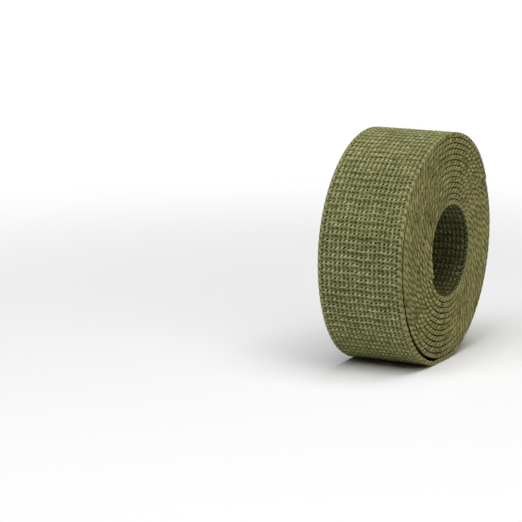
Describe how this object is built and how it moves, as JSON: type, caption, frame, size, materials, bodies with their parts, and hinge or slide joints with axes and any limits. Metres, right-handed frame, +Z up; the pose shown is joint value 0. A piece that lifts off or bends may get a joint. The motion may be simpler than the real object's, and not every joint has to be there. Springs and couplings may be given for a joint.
{
  "type": "roll of webbing",
  "caption": "Flat woven cotton strap wound into a coreless roll that stands on its outer turn, with an open round centre.",
  "frame": {"origin": "on the surface the roll stands on, under the middle of the roll", "axes": "+Z up, +Y along the roll's own axis, -Y is the end that its inmost turn stands out of"},
  "size_m": [0.0942, 0.0394, 0.098],
  "materials": {
    "webbing": "matt coarse-woven olive cotton"
  },
  "bodies": {
    "root": {"webbing": "webbing"}
  },
  "joints": []
}
